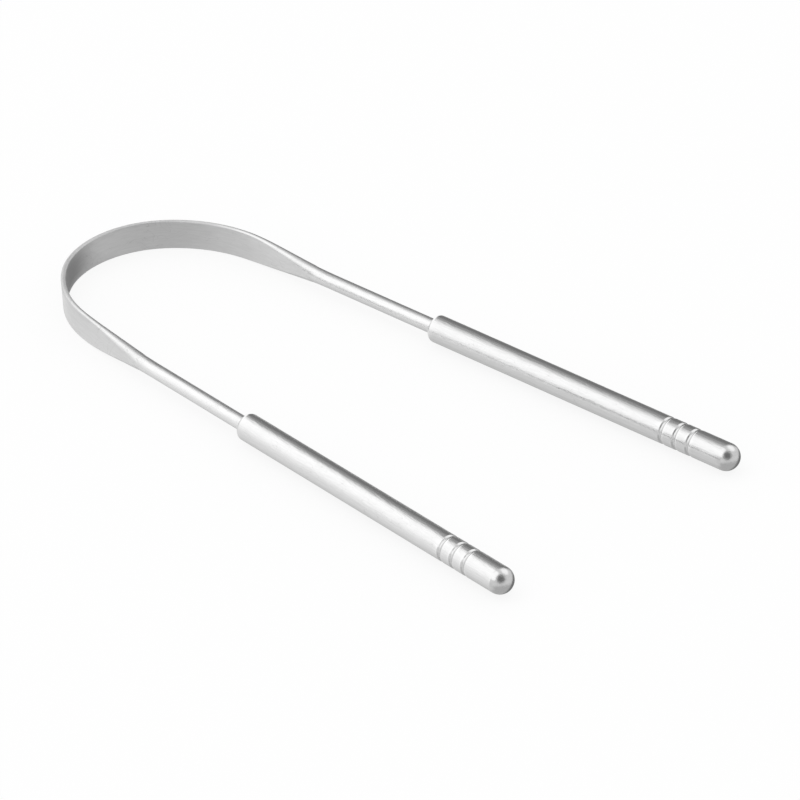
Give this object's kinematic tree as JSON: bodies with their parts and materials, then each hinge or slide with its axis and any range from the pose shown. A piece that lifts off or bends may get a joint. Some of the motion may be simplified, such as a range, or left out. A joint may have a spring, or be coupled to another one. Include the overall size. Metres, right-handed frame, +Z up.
{
  "type": "tongue scraper",
  "caption": "U-shaped steel tongue scraper: a springy wire loop pressed flat into a scraping band, with a round turned handle on each end.",
  "frame": {"origin": "middle of the base of the bounding box: midway between the handles, midway along the length, on the plane that the band's lower edge stands on", "axes": "+Y towards the crown of the loop and -Y towards the handles' tails, +X towards the right handle, +Z up across the height of the band"},
  "size_m": [0.0648, 0.1531, 0.0064],
  "materials": {
    "band_steel": "polished stainless wire, drawn grain along its length, flat faces lightly satin from the press",
    "handle_steel": "turned and polished stainless steel with faint tool rings"
  },
  "bodies": {
    "left_arm": {"scraper": "band_steel", "left_handle": "handle_steel"},
    "right_arm": {"right_handle": "handle_steel"}
  },
  "joints": [
    {"name": "loop_flex", "type": "hinge", "parent": "left_arm", "child": "right_arm", "pos_m": [0, 0.0665, 0.0032], "axis": [0, 0, 1], "range_deg": [-18, 12], "stiffness_Nm_per_rad": 1.09, "deforming": ["scraper"]}
  ]
}
